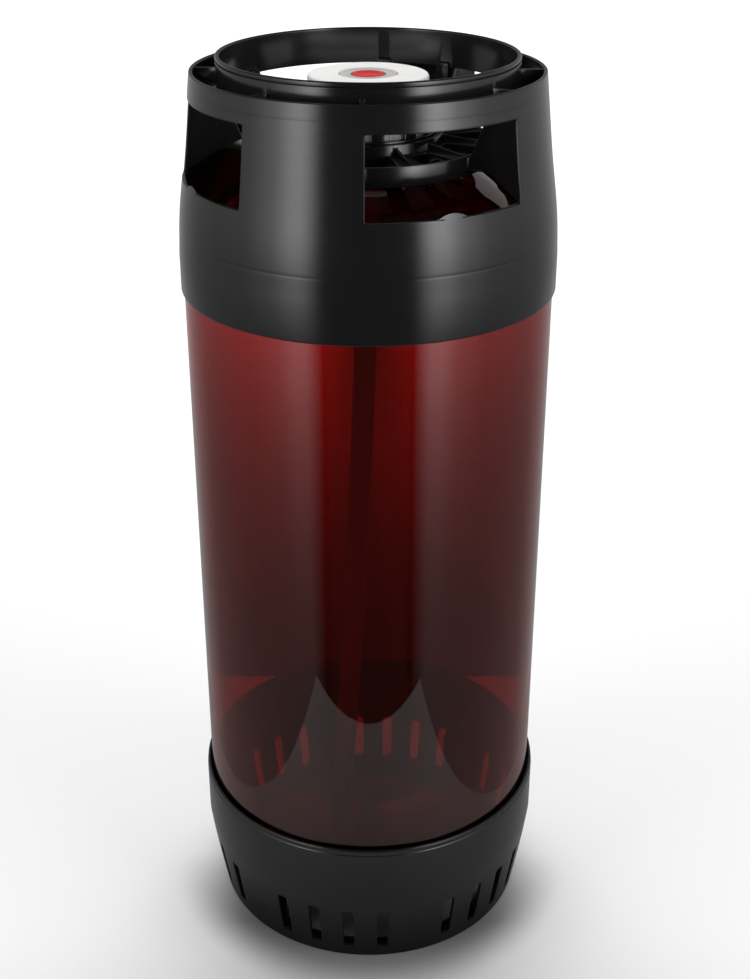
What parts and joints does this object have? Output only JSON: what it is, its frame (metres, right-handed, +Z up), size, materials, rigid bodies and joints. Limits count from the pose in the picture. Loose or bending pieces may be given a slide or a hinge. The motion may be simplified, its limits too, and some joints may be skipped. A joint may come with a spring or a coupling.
{
  "type": "beer keg",
  "caption": "Slim one-way beer keg: clear red-brown bottle, black handle ring and slotted base cup, white flat-top closure with spring-loaded valve and dip tube.",
  "frame": {"origin": "middle of the foot, on the floor", "axes": "+Z up along the keg's axis; the four handholds face +X, -X, +Y and -Y"},
  "size_m": [0.239, 0.239, 0.6026],
  "materials": {
    "red_pet": "clear red-brown blown PET, glossy",
    "black_plastic": "satin moulded polyethylene with light scuffs",
    "white_plastic": "satin moulded white plastic",
    "natural_plastic": "uncoloured moulded plastic",
    "grey_rubber": "matt grey seal rubber",
    "black_rubber": "matt black seal rubber",
    "red_plastic": "moulded red plastic",
    "spring_steel": "drawn stainless wire"
  },
  "bodies": {
    "keg_body": {"bottle": "red_pet", "base_cup": "black_plastic", "handle_ring": "black_plastic", "neck_clip": "black_plastic", "closure_cap": "white_plastic", "neck_gasket": "black_rubber", "valve_body": "natural_plastic", "spring_seat": "natural_plastic", "gas_spring": "spring_steel"},
    "gas_valve": {"gas_seal_ring": "grey_rubber", "gas_piston": "natural_plastic", "dip_tube_adapter": "natural_plastic", "dip_tube": "natural_plastic", "core_spring": "spring_steel"},
    "core_valve": {"core_button": "red_plastic", "core_plunger": "natural_plastic", "core_o_ring": "black_rubber"}
  },
  "joints": [
    {"name": "gas_valve_press", "type": "slide", "parent": "keg_body", "child": "gas_valve", "axis": [0, 0, -1], "range_m": [0, 0.0045], "stiffness_N_per_m": 6000, "deforming": ["gas_spring"]},
    {"name": "core_press", "type": "slide", "parent": "gas_valve", "child": "core_valve", "axis": [0, 0, -1], "range_m": [0, 0.0055], "stiffness_N_per_m": 2500, "deforming": ["core_spring"]}
  ]
}
